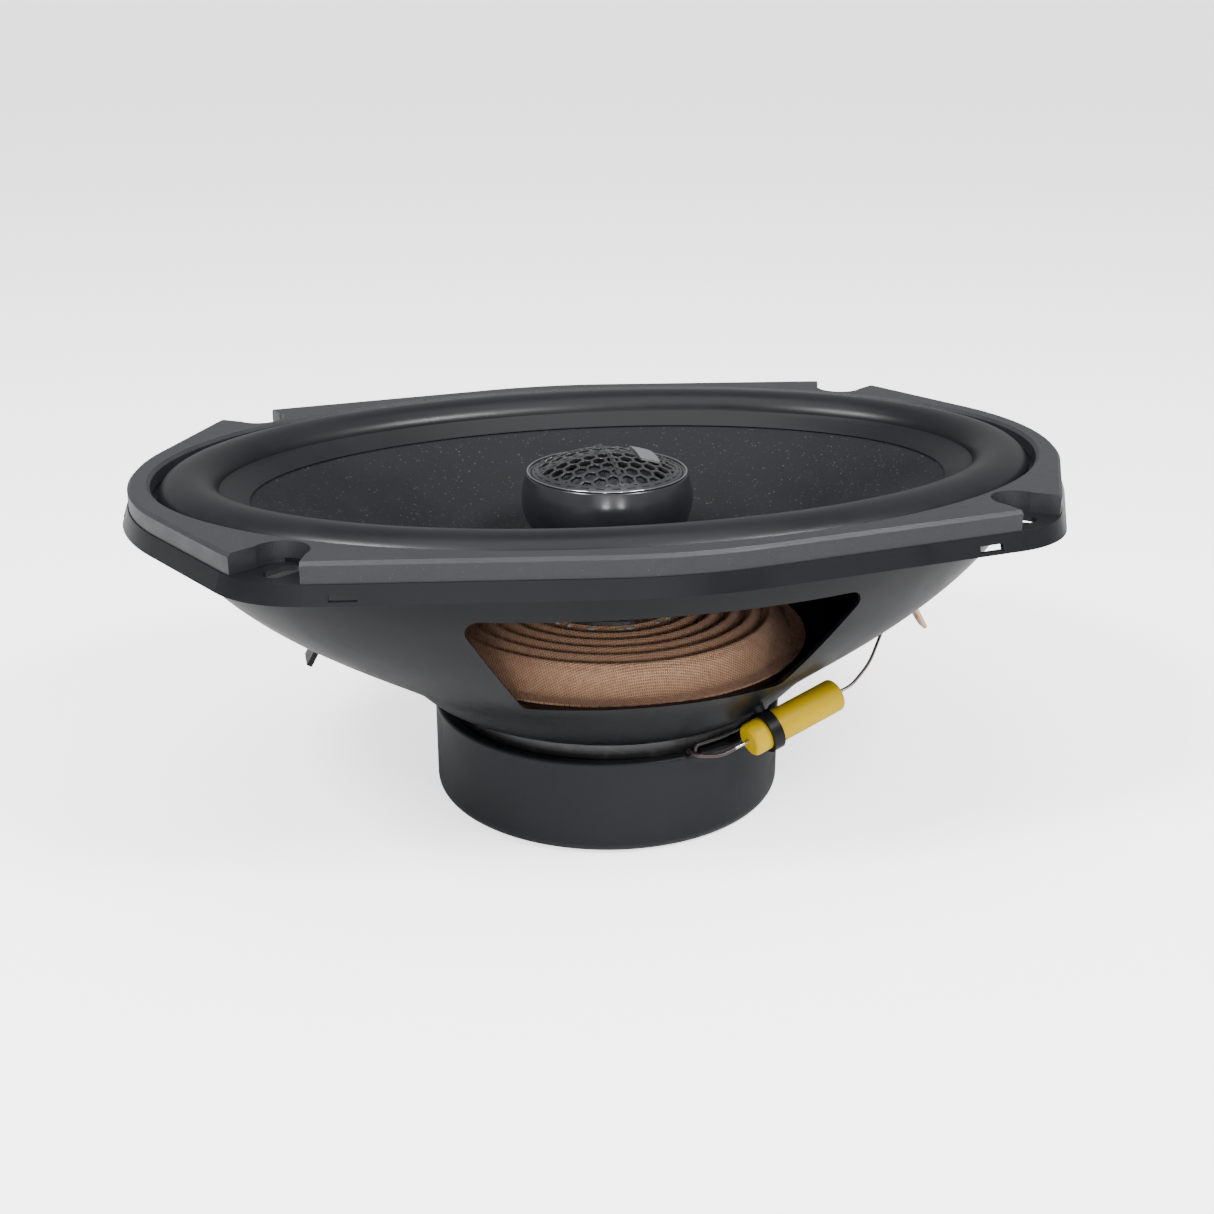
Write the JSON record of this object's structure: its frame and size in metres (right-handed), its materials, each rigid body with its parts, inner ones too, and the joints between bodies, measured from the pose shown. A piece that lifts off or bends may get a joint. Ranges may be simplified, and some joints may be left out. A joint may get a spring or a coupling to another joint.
{
  "type": "coaxial car speaker",
  "caption": "Oval coaxial speaker with a rubber surround, a pod tweeter on a post, a vented basket, a booted ring magnet and a crossover capacitor.",
  "frame": {"origin": "centre of the mounting plane, at the lower edge of the flange's lip, on the axis of the voice coil", "axes": "+Z is the way the sound leaves, +X is the long axis towards the terminals"},
  "size_m": [0.237, 0.1634, 0.0903],
  "materials": {
    "basket_paint": "satin",
    "trim_plastic": "satin",
    "surround_rubber": "satin",
    "cone_pulp": "matt",
    "coil_former": "satin",
    "copper_winding": "satin",
    "spider_cloth": "matt",
    "motor_steel": "satin",
    "zinc_steel": "satin",
    "ferrite": "matt",
    "boot_rubber": "satin",
    "pod_plastic": "satin",
    "insert_brass": "satin",
    "neodymium": "polished",
    "tweeter_steel": "satin",
    "dome_film": "gloss",
    "dome_edge": "satin",
    "grille_plastic": "gloss",
    "rim_bright": "polished",
    "badge_silver": "satin",
    "strip_board": "matt",
    "terminal_brass": "satin",
    "clip_plastic": "satin",
    "capacitor_yellow": "gloss",
    "tinned_copper": "satin",
    "wire_positive": "satin",
    "wire_negative": "satin",
    "tinsel_braid": "satin"
  },
  "bodies": {
    "chassis": {"basket": "basket_paint", "trim_gasket": "trim_plastic", "surround": "surround_rubber", "spider": "spider_cloth", "tinsel_positive": "tinsel_braid", "tinsel_negative": "tinsel_braid", "top_plate": "motor_steel", "plate_rivets": "zinc_steel", "ferrite_magnet": "ferrite", "yoke": "motor_steel", "magnet_boot": "boot_rubber", "tweeter_pod": "pod_plastic", "pod_insert": "insert_brass", "pod_stud": "zinc_steel", "pod_washer": "zinc_steel", "pod_nut": "zinc_steel", "tweeter_yoke": "tweeter_steel", "tweeter_magnet": "neodymium", "tweeter_top_plate": "tweeter_steel", "tweeter_face_ring": "pod_plastic", "tweeter_surround": "dome_edge", "tweeter_grille": "grille_plastic", "tweeter_rim_ring": "rim_bright", "tweeter_badge": "badge_silver", "terminal_strip": "strip_board", "terminal_positive": "terminal_brass", "terminal_negative": "terminal_brass", "terminal_rivets": "terminal_brass", "lead_clip": "clip_plastic", "lead_clip_rivet": "zinc_steel", "capacitor": "capacitor_yellow", "capacitor_strap": "clip_plastic", "capacitor_leads": "tinned_copper", "tweeter_wire_positive": "wire_positive", "tweeter_wire_negative": "wire_negative"},
    "cone_assembly": {"cone": "cone_pulp", "voice_coil_former": "coil_former", "voice_coil_winding": "copper_winding", "tinsel_eyelets": "terminal_brass"},
    "tweeter_diaphragm": {"tweeter_dome": "dome_film", "tweeter_voice_coil": "coil_former"}
  },
  "joints": [
    {"name": "cone_slide", "type": "slide", "parent": "chassis", "child": "cone_assembly", "axis": [0, 0, 1], "range_m": [-0.006, 0.006], "stiffness_N_per_m": 2500, "deforming": ["surround", "spider", "tinsel_positive", "tinsel_negative"]},
    {"name": "tweeter_slide", "type": "slide", "parent": "chassis", "child": "tweeter_diaphragm", "axis": [0, 0, 1], "range_m": [-0.0003, 0.0003], "stiffness_N_per_m": 4000, "deforming": ["tweeter_surround"]}
  ]
}
